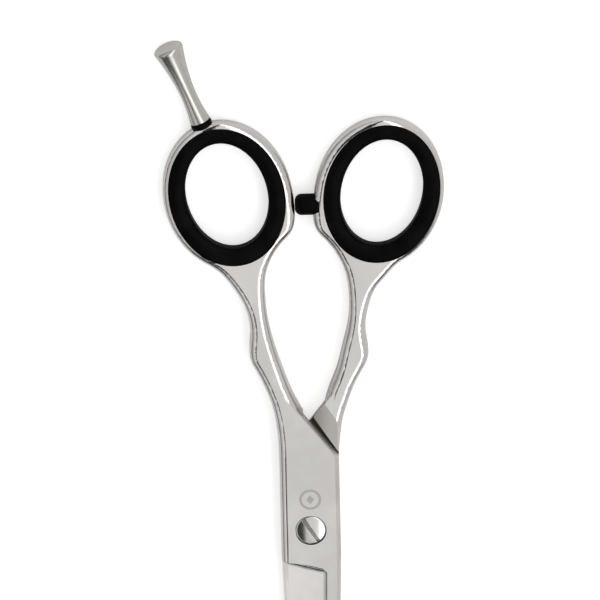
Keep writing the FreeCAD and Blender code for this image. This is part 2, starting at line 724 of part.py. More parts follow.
def pivot_screw():
    """Slotted, domed head on a plain shoulder, and a thread that holds in the rear half."""
    head = add("Part::Cylinder", "screw_head", Radius="sizes.head_radius",
               Height="sizes.head_height + sizes.head_dome")
    head.Placement = FreeCAD.Placement(UP * head_foot_z, FreeCAD.Rotation())
    ball = add("Part::Sphere", "screw_dome",
               Radius="(sizes.head_radius^2 + sizes.head_dome^2) / (2 * sizes.head_dome)")
    ball_radius = evaluate("(sizes.head_radius^2 + sizes.head_dome^2) / (2 * sizes.head_dome)")
    ball.Placement = FreeCAD.Placement(UP * (head_top_z - ball_radius), FreeCAD.Rotation())
    domed = doc.addObject("Part::Common", "screw_domed_head")
    domed.Base = head
    domed.Tool = ball
    shoulder_foot = glide_floor_z + size("face_gap")
    shoulder = add("Part::Cylinder", "screw_shoulder", Radius=SHOULDER_RADIUS)
    shoulder.Height = head_foot_z - shoulder_foot
    shoulder.Placement = FreeCAD.Placement(UP * shoulder_foot, FreeCAD.Rotation())
    thread = add("Part::Cylinder", "screw_thread", Radius="sizes.thread_radius")
    thread.Height = shoulder_foot - size("thread_end")
    thread.Placement = FreeCAD.Placement(UP * size("thread_end"), FreeCAD.Rotation())
    slot = add("Part::Box", "screw_slot", Width="sizes.slot_width", Length="4 * sizes.head_radius",
               Height="2 * sizes.slot_depth")
    turn = FreeCAD.Rotation(UP, size("slot_angle"))
    corner = Vector(-2 * size("head_radius"), -size("slot_width") / 2, head_top_z - size("slot_depth"))
    slot.Placement = FreeCAD.Placement(turn.multVec(corner), turn)
    cross_hole = add("Part::Cylinder", "screw_cross_hole", Radius="sizes.pellet_radius",
                     Height="4 * sizes.thread_radius")
    cross_hole.Placement = standing_at(Vector(-2 * size("thread_radius"), 0, size("pellet_height")),
                                       Vector(1, 0, 0))
    blank = fuse("screw_blank", [domed, shoulder, thread])
    return cut("pivot_screw", cut("screw_slotted", blank, slot), cross_hole)


def lock_pellet():
    """Nylon pellet across the thread, which holds the setting."""
    reach = "sqrt(sizes.thread_radius^2 - sizes.pellet_radius^2)"
    pellet = add("Part::Cylinder", "lock_pellet", Radius="sizes.pellet_radius", Height="2 * " + reach)
    pellet.Placement = standing_at(Vector(-evaluate(reach), 0, size("pellet_height")), Vector(1, 0, 0))
    return pellet


def tension_washer():
    """Thin dished spring washer under the screw's head."""
    rise = "sizes.tension_washer_rise"
    sheet_metal = "sizes.tension_washer_sheet"
    bore = SHOULDER_RADIUS + " + sizes.running_fit"
    rim = "sizes.head_radius + sizes.loose_fit - sizes.tension_washer_play"
    body = lathe("tension_washer", [(bore, rise), (rim, "0"), (rim, sheet_metal),
                                    (bore, sheet_metal + " + " + rise)])
    body.Placement = FreeCAD.Placement(UP * (head_seat_z + size("face_gap")), FreeCAD.Rotation())
    return body


def pivot_bush():
    """Plain bush in the front half, on which the screw's shoulder turns."""
    foot = ride_face + size("face_gap")
    place = FreeCAD.Placement(UP * foot, FreeCAD.Rotation())
    bore = SHOULDER_RADIUS + " + sizes.running_fit"
    return tube("pivot_bush", bore + " + sizes.bush_wall", bore, "%r" % (head_seat_z - foot), place)


def glide_washer():
    """Slippery washer between the rides, let into the rear half."""
    place = FreeCAD.Placement(UP * glide_floor_z, FreeCAD.Rotation())
    return tube("glide_washer", "sizes.glide_radius", SHOULDER_RADIUS + " + sizes.loose_fit",
                "%r" % (glide_top_z - glide_floor_z), place)


# ---------------------------------------------------------------- build, check and write

subparts = [front_half(), rear_half(),
            ring_insert("finger_ring_insert", -finger_hole_x, size("ring_lean")),
            ring_insert("thumb_ring_insert", thumb_hole_x, -size("ring_lean")),
            finger_rest(), finger_rest_washer(), stop_bumper(),
            pivot_screw(), lock_pellet(), tension_washer(), pivot_bush(), glide_washer()]
doc.recompute()

for item in doc.Objects:
    if "Invalid" in item.State or "Error" in item.State:
        raise RuntimeError("%s failed: %s" % (item.Label, item.State))
for item in subparts:
    if item.Shape.isNull() or not item.Shape.isValid():
        raise RuntimeError("%s has no valid shape" % item.Label)

os.makedirs("parts", exist_ok=True)
for item in subparts:
    shape = item.Shape
    shape.exportStep("parts/%s.step" % item.Label)
    print(item.Label, len(shape.Solids), "solid,", round(shape.Volume, 2), "mm3")
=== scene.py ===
import json
import math

import bmesh
import bpy
from mathutils import Matrix, Vector


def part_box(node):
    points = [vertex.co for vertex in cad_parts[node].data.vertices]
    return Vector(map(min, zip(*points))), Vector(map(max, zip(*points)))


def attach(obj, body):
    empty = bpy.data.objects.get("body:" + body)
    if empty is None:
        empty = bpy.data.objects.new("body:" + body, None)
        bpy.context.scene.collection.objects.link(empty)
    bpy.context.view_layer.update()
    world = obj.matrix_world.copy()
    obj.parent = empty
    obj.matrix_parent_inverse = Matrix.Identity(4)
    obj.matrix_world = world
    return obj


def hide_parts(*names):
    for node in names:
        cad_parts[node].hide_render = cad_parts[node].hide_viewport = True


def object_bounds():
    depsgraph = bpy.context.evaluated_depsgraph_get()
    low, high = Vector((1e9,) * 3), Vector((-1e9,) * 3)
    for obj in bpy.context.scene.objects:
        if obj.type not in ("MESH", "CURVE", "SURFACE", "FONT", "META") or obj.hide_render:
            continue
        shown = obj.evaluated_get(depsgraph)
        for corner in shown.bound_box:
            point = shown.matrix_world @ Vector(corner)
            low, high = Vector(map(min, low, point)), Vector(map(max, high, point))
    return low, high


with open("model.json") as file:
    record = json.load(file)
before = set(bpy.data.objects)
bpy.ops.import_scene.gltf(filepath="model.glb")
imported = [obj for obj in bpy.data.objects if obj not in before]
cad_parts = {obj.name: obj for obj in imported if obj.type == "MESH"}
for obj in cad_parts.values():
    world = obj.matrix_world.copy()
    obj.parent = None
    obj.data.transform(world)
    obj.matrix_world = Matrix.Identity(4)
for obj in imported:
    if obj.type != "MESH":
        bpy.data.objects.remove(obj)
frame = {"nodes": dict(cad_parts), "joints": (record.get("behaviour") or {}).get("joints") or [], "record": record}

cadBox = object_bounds()
record = frame["record"]
jointOf = {joint["name"]: joint for joint in frame["joints"]}
millimetre = 0.001
print("frame loaded:", len(frame["nodes"]), "nodes")


# ---- shader and geometry trees

class Wire:
    # One socket of a node tree. Arithmetic on it adds Math nodes to that tree.
    def __init__(self, tree, socket=None):
        self.tree = tree
        self.socket = socket

    def node(self, kind, settings=None, inputs=None, output=0):
        made = self.tree.nodes.new(kind)
        for name, value in (settings or {}).items():
            if name == "stops":
                fillRamp(made.color_ramp, value)
            else:
                setattr(made, name, value)
        for name, value in (inputs or {}).items():
            if isinstance(value, Wire):
                self.tree.links.new(value.socket, made.inputs[name])
            else:
                made.inputs[name].default_value = value
        return Wire(self.tree, made.outputs[output])

    def math(self, operation, *values):
        return self.node("ShaderNodeMath", {"operation": operation}, dict(enumerate(values)))

    def __add__(self, other):
        return self.math("ADD", self, other)

    def __radd__(self, other):
        return self.math("ADD", other, self)

    def __sub__(self, other):
        return self.math("SUBTRACT", self, other)

    def __rsub__(self, other):
        return self.math("SUBTRACT", other, self)

    def __mul__(self, other):
        return self.math("MULTIPLY", self, other)

    def __rmul__(self, other):
        return self.math("MULTIPLY", other, self)

    def __truediv__(self, other):
        return self.math("DIVIDE", self, other)

    def __pow__(self, other):
        return self.math("POWER", self, other)

    def __abs__(self):
        return self.math("ABSOLUTE", self)

    def smooth(self, low, high):
        # 0 below low, 1 above high, with a soft step between
        return self.node("ShaderNodeMapRange", {"interpolation_type": "SMOOTHSTEP"},
                         {"Value": self, "From Min": low, "From Max": high})

    def noise(self, vector, scale, detail=2.0, roughness=0.5):
        return self.node("ShaderNodeTexNoise", {"noise_dimensions": "3D"},
                         {"Vector": vector, "Scale": scale, "Detail": detail, "Roughness": roughness})

    def mapped(self, vector, scale=(1, 1, 1), location=(0, 0, 0), rotation=(0, 0, 0)):
        return self.node("ShaderNodeMapping", None, {"Vector": vector, "Scale": scale, "Location": location,
                                                     "Rotation": rotation})

    def parts(self, vector):
        split = self.node("ShaderNodeSeparateXYZ", None, {0: vector}).socket.node
        return [Wire(self.tree, out) for out in split.outputs]

    def blend(self, factor, first, second):
        return self.node("ShaderNodeMix", {"data_type": "RGBA"}, {0: factor, 6: first, 7: second}, 2)

    def bump(self, height, strength, distance):
        return self.node("ShaderNodeBump", None, {"Height": height, "Strength": strength, "Distance": distance})


def fillRamp(ramp, stops):
    while len(ramp.elements) < len(stops):
        ramp.elements.new(1.0)
    for element, (place, shade) in zip(ramp.elements, stops):
        element.position = place
        element.color = shade


def newMaterial(name, **constants):
    # a Principled material: its constants are set on the shader's own sockets
    material = bpy.data.materials.new(name)
    material.use_nodes = True
    shader = material.node_tree.nodes["Principled BSDF"]
    for socket, value in constants.items():
        shader.inputs[socket.replace("_", " ")].default_value = value
    return material, shader, Wire(material.node_tree)


def feed(shader, tree, **wires):
    for socket, wire in wires.items():
        tree.tree.links.new(wire.socket, shader.inputs[socket.replace("_", " ")])


# ---- finishes

steelFinish = {
    "light": (0.84, 0.815, 0.795, 1), "dark": (0.75, 0.727, 0.71, 1), "etch": (0.56, 0.545, 0.515, 1),
    "roundRoughness": 0.07, "flatRoughness": 0.20, "etchRoughness": 0.45,
    "grainScale": 2600.0, "grainStretch": 0.035, "grainDepth": 0.0000012,
    "middle": 0.0028, "plateFrom": 0.0115, "plateTo": 0.0295,
    # the wall colours are painted: a satin shade on the plate's slanted wall and a near black painted shadow down in
    # the gap
    "wallPaintedShade": (0.74, 0.70, 0.65, 1), "gapPaintedShadow": (0.012, 0.011, 0.010, 1), "gapShadowReach": 0.00045,
    "plateCorner": (0.0057, 0.0144), "plateSlant": 52.5,
    "facetLean": (0.135, 0.086), "facetFrom": 0.0002, "facetTo": 0.0052,
    # painted shading for the facet, from its darker to its lighter end
    "facetPaintedShade": (0.40, 0.375, 0.335, 1), "facetPaintedLight": (0.63, 0.605, 0.57, 1), "groundRoughness": 0.42,
    "markCentre": (0.0, 0.0064), "markOuter": 0.0021, "markInner": 0.0016, "markLozenge": 0.00095,
}


def polishedSteel():
    material, shader, wire = newMaterial("polishedSteel", Metallic=1.0)
    coordinates = wire.node("ShaderNodeTexCoord", output="Object")
    facing = wire.node("ShaderNodeTexCoord", output="Normal")
    x, y, z = wire.parts(coordinates)
    normalX, normalY, normalZ = wire.parts(facing)
    flat = abs(normalZ).smooth(0.965, 0.995)
    stretch = steelFinish["grainStretch"]
    lengthwise = wire.noise(wire.mapped(coordinates, (1, stretch, 1)), steelFinish["grainScale"], 3.0)
    clouds = wire.noise(coordinates, 90.0, 3.0, 0.55)
    scratches = wire.noise(wire.mapped(coordinates, (1, 0.02, 1), rotation=(0, 0, 0.35)), 900.0, 1.0)
    hairline = scratches.smooth(0.70, 0.74)

    # the etched emblem: a thin ring round a small lozenge, only on the upper face
    centreX, centreY = steelFinish["markCentre"]
    away = ((x - centreX) ** 2 + (y - centreY) ** 2) ** 0.5
    edge = 0.00004
    ring = (away.smooth(steelFinish["markInner"] - edge, steelFinish["markInner"] + edge)
            * (1 - away.smooth(steelFinish["markOuter"] - edge, steelFinish["markOuter"] + edge)))
    lozenge = abs(x - centreX) * 1.25 + abs(y - centreY)
    lozenge = 1 - lozenge.smooth(steelFinish["markLozenge"] - edge, steelFinish["markLozenge"] + edge)
    mark = (ring + lozenge) * normalZ.smooth(0.9, 0.95) * z.smooth(0.0050, 0.0054)

    # walls of the plate and the step: a painted satin shade near the edge and a painted shadow down in the gap
    nearPlate = (y.smooth(steelFinish["plateFrom"], steelFinish["plateFrom"] + 0.0005)
                 * (1 - y.smooth(steelFinish["plateTo"], steelFinish["plateTo"] + 0.0005)))
    slanted = abs(normalY).smooth(0.42, 0.46) * (1 - abs(normalY).smooth(0.70, 0.74))
    wall = nearPlate * slanted * (1 - abs(normalZ).smooth(0.42, 0.50))
    fromMiddle = abs(z - steelFinish["middle"])
    slant = math.radians(steelFinish["plateSlant"])
    cornerX, cornerY = steelFinish["plateCorner"]
    beyond = (x * normalZ - cornerX) * math.sin(slant) + (y - cornerY) * math.cos(slant)
    # the gap's floor, which is painted near black as shadow
    floor = (nearPlate * beyond.smooth(0.0, 0.0001) * abs(normalZ).smooth(0.90, 0.95)
             * (1 - fromMiddle.smooth(0.0002, 0.0004)))
    wallPaintedShading = wire.blend(fromMiddle.smooth(steelFinish["gapShadowReach"] - 0.00012, steelFinish["gapShadowReach"] + 0.00012),
                          steelFinish["gapPaintedShadow"], steelFinish["wallPaintedShade"])

    # the facet ground beside the step, known by its lean; its colour is painted shading, darker towards the middle
    # line and lighter outwards
    leanX, leanY = steelFinish["facetLean"]
    offLean = abs(abs(normalX) - leanX) + abs(abs(normalY) - leanY)
    facet = nearPlate * (1 - offLean.smooth(0.015, 0.03))
    along = abs(x).smooth(steelFinish["facetFrom"], steelFinish["facetTo"]) + (clouds - 0.5) * 0.5
    facetPaintedShading = wire.blend(along.smooth(0.0, 1.0), steelFinish["facetPaintedShade"], steelFinish["facetPaintedLight"])
    ground = wire.math("MAXIMUM", wire.math("MAXIMUM", wall, facet), floor)

    tint = wire.blend(clouds.smooth(0.3, 0.7), steelFinish["light"], steelFinish["dark"])
    tint = wire.blend(mark, tint, steelFinish["etch"])
    # painted shade on the walls, turning to painted shadow down in the gap
    tint = wire.blend(wall, tint, wallPaintedShading)
    # painted shading on the facet
    tint = wire.blend(facet, tint, facetPaintedShading)
    # the gap's floor painted near black as shadow
    tint = wire.blend(floor, tint, steelFinish["gapPaintedShadow"])
    satin = steelFinish["roundRoughness"] + flat * (steelFinish["flatRoughness"] - steelFinish["roundRoughness"])
    satin = satin + (lengthwise - 0.5) * 0.06 * flat + (clouds - 0.5) * 0.03 + hairline * 0.05
    satin = satin + mark * (steelFinish["etchRoughness"] - steelFinish["flatRoughness"])
    satin = satin + ground * steelFinish["groundRoughness"]
    grain = wire.bump(lengthwise * (0.15 + flat * 0.85), 1.0, steelFinish["grainDepth"])
    feed(shader, wire, Base_Color=tint, Roughness=satin, Metallic=1 - ground * 0.85, Normal=grain)
    return material


def turnedSteel(name, centre, axis, light, dark, roughness, paintedShadeBelow=-1.0):
    # bright turned metal: fine rings round the piece's own axis
    material, shader, wire = newMaterial(name, Metallic=1.0)
    coordinates = wire.node("ShaderNodeTexCoord", output="Object")
    turn = Vector(axis).rotation_difference(Vector((0, 0, 1))).to_euler()
    centred = wire.node("ShaderNodeVectorMath", {"operation": "SUBTRACT"}, {0: coordinates, 1: centre})
    local = wire.mapped(centred, rotation=turn)
    x, y, z = wire.parts(local)
    radius = (x ** 2 + y ** 2) ** 0.5
    lines = wire.node("ShaderNodeCombineXYZ", None, {"X": radius, "Y": z})
    rings = wire.noise(lines, 5200.0, 3.0, 0.6)
    clouds = wire.noise(coordinates, 160.0, 2.0)
    tint = wire.blend(rings * 0.5 + clouds * 0.5, light, dark)
    # painted shade: below this height, on the slot's floor, the head's side and everything lower, the metal is
    # painted dark
    tint = wire.blend(z.smooth(paintedShadeBelow - 0.0001, paintedShadeBelow + 0.0001), (0.30, 0.285, 0.265, 1), tint)
    feed(shader, wire, Base_Color=tint, Roughness=roughness + (rings - 0.5) * 0.16 + (clouds - 0.5) * 0.05,
         Normal=wire.bump(rings, 1.0, 0.0000022))
    return material


rubberFinish = {"black": (0.0014, 0.0014, 0.0015, 1), "worn": (0.0042, 0.0042, 0.0045, 1), "roughness": 0.40}


def blackRubber():
    material, shader, wire = newMaterial("blackRubber", Metallic=0.0, IOR=1.5, Specular_IOR_Level=0.05)
    coordinates = wire.node("ShaderNodeTexCoord", output="Object")
    pores = wire.noise(coordinates, 5200.0, 2.0, 0.6)
    clouds = wire.noise(coordinates, 260.0, 4.0, 0.6)
    tint = wire.blend(clouds.smooth(0.42, 0.72), rubberFinish["black"], rubberFinish["worn"])
    roughness = rubberFinish["roughness"] + (clouds - 0.5) * 0.16 + (pores - 0.5) * 0.10
    feed(shader, wire, Base_Color=tint, Roughness=roughness, Normal=wire.bump(pores, 1.0, 0.000004))
    return material


def plainFinish(name, light, dark, roughness, metallic):
    # for the small pieces inside the pivot
    material, shader, wire = newMaterial(name, Metallic=metallic)
    coordinates = wire.node("ShaderNodeTexCoord", output="Object")
    clouds = wire.noise(coordinates, 900.0, 4.0, 0.6)
    feed(shader, wire, Base_Color=wire.blend(clouds.smooth(0.35, 0.65), light, dark),
         Roughness=roughness + (clouds - 0.5) * 0.2, Normal=wire.bump(clouds, 1.0, 0.000006))
    return material


washerShape = {"outer": 0.00205, "inner": 0.00103, "height": 0.0011, "edge": 0.00042, "steps": 96}
restJoint = jointOf["rest_turn"]
restAxis = Vector(restJoint["axis"]).normalized()
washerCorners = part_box("finger_rest_washer")
restFoot = (washerCorners[0] + washerCorners[1]) / 2 + restAxis * washerShape["height"] / 2
steel = polishedSteel()
satinSteel = turnedSteel("satinSteel", restFoot, restAxis, (0.70, 0.69, 0.65, 1), (0.58, 0.57, 0.54, 1), 0.24)
# the screw is painted dark from 0.45 mm below its top, as shade in the slot and on the head's side
screwSteel = turnedSteel("screwSteel", (0, 0, 0), (0, 0, 1), (0.82, 0.81, 0.78, 1), (0.68, 0.67, 0.65, 1), 0.13,
                         paintedShadeBelow=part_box("pivot_screw")[1].z - 0.00045)
rubber = blackRubber()
springSteel = plainFinish("springSteel", (0.55, 0.55, 0.55, 1), (0.42, 0.42, 0.43, 1), 0.3, 1.0)
bronze = plainFinish("bronze", (0.66, 0.48, 0.27, 1), (0.50, 0.36, 0.20, 1), 0.38, 1.0)
nylon = plainFinish("whiteNylon", (0.86, 0.86, 0.82, 1), (0.78, 0.78, 0.74, 1), 0.45, 0.0)
finishOf = {"front_half": steel, "rear_half": steel, "finger_rest": satinSteel, "pivot_screw": screwSteel,
            "finger_ring_insert": rubber, "thumb_ring_insert": rubber, "finger_rest_washer": rubber,
            "stop_bumper": rubber, "tension_washer": springSteel, "pivot_bush": bronze,
            "lock_pellet": nylon, "glide_washer": nylon}
for name, node in frame["nodes"].items():
    node.data.materials.clear()
    node.data.materials.append(finishOf[name])
print("finishes made:", len(finishOf))


# ---- shapes

def roundedOutline(corners, steps=8):
    # a closed outline from corners (x, y, radius), each rounded by an arc
    points = []
    count = len(corners)
    for i, (x, y, radius) in enumerate(corners):
        here = Vector((x, y))
        if radius <= 0:
            points.append(here)
            continue
        before = (Vector(corners[i - 1][:2]) - here).normalized()
        after = (Vector(corners[(i + 1) % count][:2]) - here).normalized()
        half = before.angle(after) / 2
        reach = radius / math.tan(half)
        centre = here + (before + after).normalized() * radius / math.sin(half)
        start = here + before * reach - centre
        sweep = start.angle_signed(here + after * reach - centre)
        for k in range(steps + 1):
            turn = -sweep * k / steps
            points.append(centre + Vector((start.x * math.cos(turn) - start.y * math.sin(turn),
                                           start.x * math.sin(turn) + start.y * math.cos(turn))))
    return points


def addObject(name, data):
    made = bpy.data.objects.new(name, data)
    bpy.context.scene.collection.objects.link(made)
    return made


def sweepTree():
    # sweeps the outline it is given round an ellipse that lies flat
    tree = bpy.data.node_groups.new("sweepRound", "GeometryNodeTree")
    sockets = tree.interface
    sockets.new_socket("Outline", in_out="INPUT", socket_type="NodeSocketGeometry")
    for name in ("Long", "Short"):
        sockets.new_socket(name, in_out="INPUT", socket_type="NodeSocketFloat")
    sockets.new_socket("Steps", in_out="INPUT", socket_type="NodeSocketInt")
    sockets.new_socket("Finish", in_out="INPUT", socket_type="NodeSocketMaterial")
    sockets.new_socket("Mesh", in_out="OUTPUT", socket_type="NodeSocketGeometry")
    given = tree.nodes.new("NodeGroupInput")
    wire = Wire(tree)
    outline, longHalf, shortHalf, steps, finish = [Wire(tree, out) for out in list(given.outputs)[:5]]
    circle = wire.node("GeometryNodeCurvePrimitiveCircle", {"mode": "RADIUS"}, {"Resolution": steps, "Radius": 1.0})
    place = wire.node("GeometryNodeInputPosition")
    axes = wire.node("ShaderNodeCombineXYZ", None, {"X": longHalf, "Y": shortHalf, "Z": 0.0})
    stretched = wire.node("ShaderNodeVectorMath", {"operation": "MULTIPLY"}, {0: place, 1: axes})
    ellipse = wire.node("GeometryNodeSetPosition", None, {"Geometry": circle, "Position": stretched})
    level = wire.node("GeometryNodeSetCurveNormal", {"mode": "Z_UP"}, {"Curve": ellipse})
    swept = wire.node("GeometryNodeCurveToMesh", None, {"Curve": level, "Profile Curve": outline})
    smooth = wire.node("GeometryNodeSetShadeSmooth", None, {"Geometry": swept})
    real = wire.node("GeometryNodeRealizeInstances", None, {"Geometry": smooth})
    finished = wire.node("GeometryNodeSetMaterial", None, {"Geometry": real, "Material": finish})
    output = tree.nodes.new("NodeGroupOutput")
    tree.links.new(finished.socket, output.inputs["Mesh"])
    return tree


roundSweep = sweepTree()


def sweptRing(name, outline, longHalf, shortHalf, steps, finish, place):
    # outline points are (outwards, up) from the swept ellipse
    curve = bpy.data.curves.new(name + "Outline", "CURVE")
    curve.dimensions = "3D"
    spline = curve.splines.new("POLY")
    spline.points.add(len(outline) - 1)
    for point, (outwards, up) in zip(spline.points, outline):
        point.co = (outwards, -up, 0, 1)
    spline.use_cyclic_u = True
    carrier = addObject(name + "Outline", curve)
    modifier = carrier.modifiers.new("sweep", "NODES")
    modifier.node_group = roundSweep
    values = {"Long": longHalf, "Short": shortHalf, "Steps": steps, "Finish": finish}
    for item in roundSweep.interface.items_tree:
        if item.in_out == "INPUT" and item.name in values:
            modifier[item.identifier] = values[item.name]
    bpy.context.view_layer.update()
    evaluated = carrier.evaluated_get(bpy.context.evaluated_depsgraph_get())
    mesh = bpy.data.meshes.new_from_object(evaluated)
    bpy.data.objects.remove(carrier)
    mesh.name = name
    mesh.transform(place)
    tidyMesh(mesh)
    return addObject(name, mesh)


def tidyMesh(mesh):
    # closes seams and points every face outwards
    form = bmesh.new()
    form.from_mesh(mesh)
    bmesh.ops.remove_doubles(form, verts=form.verts, dist=0.0000005)
    bmesh.ops.recalc_face_normals(form, faces=form.faces)
    form.to_mesh(mesh)
    form.free()
    mesh.update()


def turnedMesh(name, profile, steps, place, finish, sharp=30.0):
    # profile points are (radius, height) from pole to pole; a radius may be a function of the turn
    form = bmesh.new()
    rows = []
    for radius, height in profile:
        if radius == 0:
            rows.append([form.verts.new((0, 0, height))])
            continue
        row = []
        for k in range(steps):
            turn = 2 * math.pi * k / steps
            reach = radius(turn) if callable(radius) else radius
            row.append(form.verts.new((reach * math.cos(turn), reach * math.sin(turn), height)))
        rows.append(row)
    for low, high in zip(rows, rows[1:]):
        for k in range(steps):
            after = (k + 1) % steps
            if len(low) == 1:
                form.faces.new((low[0], high[after], high[k]))
            elif len(high) == 1:
                form.faces.new((low[k], low[after], high[0]))
            else:
                form.faces.new((low[k], low[after], high[after], high[k]))
    bmesh.ops.recalc_face_normals(form, faces=form.faces)
    mesh = bpy.data.meshes.new(name)
    form.to_mesh(mesh)
    form.free()
    mesh.transform(place)
    mesh.materials.append(finish)
    mesh.shade_smooth()
    mesh.set_sharp_from_angle(angle=math.radians(sharp))
    return addObject(name, mesh)


def threaded(crest, root, pitch, low, high, rowsPerTurn=10):
    # rows of a screw thread: the radius runs from root to crest and back once in each pitch
    rows = []
    count = max(2, round((high - low) / pitch * rowsPerTurn))
    for i in range(count + 1):
        height = low + (high - low) * i / count
        fade = min(1.0, i / rowsPerTurn * 2, (count - i) / rowsPerTurn * 2)

        def reach(turn, height=height, fade=fade):
            phase = (height / pitch - turn / (2 * math.pi)) % 1.0
            ridge = min(1.0, max(0.0, 1.7 * (1 - abs(2 * phase - 1)) - 0.25))
            return root + (crest - root) * ridge * fade
        rows.append((reach, height))
    return rows


def standing(point, axis):
    turn = Vector((0, 0, 1)).rotation_difference(Vector(axis)).to_matrix().to_4x4()
    return Matrix.Translation(Vector(point)) @ turn


# ---- rubber ring inserts

insertShape = {"lean": 11.5, "band": 0.00330, "ribHalf": 0.00117, "groove": 0.00113, "lipRound": 0.00036,
               "noseRound": 0.00095, "crown": 0.00012, "steps": 220}


def ringInsert(name, node, body, lean):
    low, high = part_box(node)
    centre = (low + high) / 2
    across, along = (high.x - low.x) / 2, (high.y - low.y) / 2
    half = (high.z - low.z) / 2
    # the half axes of the leaning outline, from the size of its box
    tilt = math.sin(math.radians(lean)) ** 2
    upright = 1 - tilt
    longHalf = math.sqrt((along ** 2 * upright - across ** 2 * tilt) / (upright ** 2 - tilt ** 2))
    shortHalf = math.sqrt((across ** 2 * upright - along ** 2 * tilt) / (upright ** 2 - tilt ** 2))
    band, rib, groove = insertShape["band"], insertShape["ribHalf"], insertShape["groove"]
    lip, nose, crown = insertShape["lipRound"], insertShape["noseRound"], insertShape["crown"]
    corners = [(0, -half + crown, nose), (band * 0.55, -half, band), (band, -half + crown, lip),
               (band, -rib, 0), (band - groove, -rib, 0), (band - groove, rib, 0), (band, rib, 0),
               (band, half - crown, lip), (band * 0.55, half, band), (0, half - crown, nose)]
    outline = roundedOutline(corners)
    place = Matrix.Translation(centre) @ Matrix.Rotation(math.radians(90 + lean), 4, "Z")
    piece = sweptRing(name, outline, longHalf - band, shortHalf - band, insertShape["steps"], rubber, place)
    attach(piece, body)
    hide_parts(node)


ringInsert("fingerInsert", "finger_ring_insert", "finger_side", insertShape["lean"])
ringInsert("thumbInsert", "thumb_ring_insert", "thumb_side", -insertShape["lean"])
print("ring inserts made")


# ---- finger rest and its washer

restShape = {"length": 0.01685, "base": 0.00195, "waist": 0.0015, "waistHeight": 0.00556, "rim": 0.00295,
             "dome": 0.00095, "rimRound": 0.00025, "chamfer": 0.00012, "flare": 1.84,
             "studCrest": 0.001, "studRoot": 0.00076, "studPitch": 0.0004, "studLength": 0.0027,
             "steps": 96, "rows": 34}


def fingerRest():
    shape = restShape
    stud, root = shape["studLength"], shape["studRoot"]
    rows = [(0, -stud), (root, -stud)]
    rows += threaded(shape["studCrest"], root, shape["studPitch"], -stud + 0.00005, -0.0002)
    rows += [(root, -0.0001), (root, 0.0), (shape["base"] - shape["chamfer"], 0.0), (shape["base"], shape["chamfer"])]
    rimHeight = shape["length"] - shape["dome"]
    low, high = shape["chamfer"], rimHeight - shape["rimRound"]
    for i in range(1, shape["rows"] + 1):
        height = low + (high - low) * i / shape["rows"]
        if height < shape["waistHeight"]:
            share = 1 - height / shape["waistHeight"]
            radius = shape["waist"] + (shape["base"] - shape["waist"]) * share ** 2
        else:
            share = (height - shape["waistHeight"]) / (rimHeight - shape["waistHeight"])
            radius = shape["waist"] + (shape["rim"] - shape["waist"]) * share ** shape["flare"]
        rows.append((radius, height))
    # the rounded rim, then the dome as part of a ball
    side = rows[-1][0]
    ball = (shape["rim"] ** 2 + shape["dome"] ** 2) / (2 * shape["dome"])
    for degrees in (20, 45, 70):
        turn = math.radians(degrees)
        rows.append((side + shape["rimRound"] * (math.cos(turn) * 0.4 - 0.4),
                     high + shape["rimRound"] * math.sin(turn)))
    start = rows[-1][0] / ball
    for i in range(1, 12):
        turn = math.asin(start) * (1 - i / 12)
        rows.append((ball * math.sin(turn), shape["length"] - ball * (1 - math.cos(turn))))
    rows.append((0, shape["length"]))
    piece = turnedMesh("fingerRest", rows, shape["steps"], standing(restFoot, restAxis), satinSteel)
    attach(piece, "rest")
    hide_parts("finger_rest")


def restWasher():
    outer, inner, height, edge = [washerShape[key] for key in ("outer", "inner", "height", "edge")]
    corners = [(0, 0, 0), (outer - inner, 0, edge), (outer - inner, height, edge), (0, height, 0)]
    place = standing(restFoot - restAxis * height, restAxis)
    piece = sweptRing("restWasher", roundedOutline(corners), inner, inner, washerShape["steps"], rubber, place)
    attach(piece, "rest_carrier")
    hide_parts("finger_rest_washer")


fingerRest()
restWasher()
print("finger rest and washer made")


# ---- rubber stop

stopShape = {"noseRound": 0.0013, "stem": 0.0008, "stemLength": 0.0009, "collar": 0.00012, "steps": 72}


def rubberStop():
    low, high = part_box("stop_bumper")
    centre = (low + high) / 2
    radius = (high.z - low.z) / 2
    length = high.x - low.x
    stem, foot, nose = stopShape["stem"], stopShape["stemLength"], stopShape["noseRound"]
    rows = [(0, 0), (stem, 0), (stem, foot), (radius - stopShape["collar"], foot),
            (radius, foot + stopShape["collar"])]
    straight = length - nose
    rows += [(radius, foot + (straight - foot) * k / 4) for k in range(1, 5)]
    for i in range(1, 13):
        turn = math.pi / 2 * i / 12
        rows.append((radius - nose + nose * math.cos(turn), straight + nose * math.sin(turn)))
    face = radius - nose
    rows += [(face * 0.6, length), (face * 0.25, length), (0, length)]
    place = standing((high.x, centre.y, centre.z), (-1, 0, 0))
    piece = turnedMesh("rubberStop", rows, stopShape["steps"], place, rubber)
    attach(piece, "thumb_side")
    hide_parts("stop_bumper")


rubberStop()
print("rubber stop made")


# ---- pivot screw

screwShape = {"head": 0.002925, "headHeight": 0.00115, "rimRound": 0.00038, "dome": 0.0002,
              "shoulder": 0.00175, "thread": 0.0015, "threadRoot": 0.00127, "pitch": 0.0005,
              "slotWidth": 0.00070, "slotDepth": 0.0007, "slotTurn": 122.0, "slotEdge": 0.00005,
              "threadHeight": 0.00232, "steps": 128}


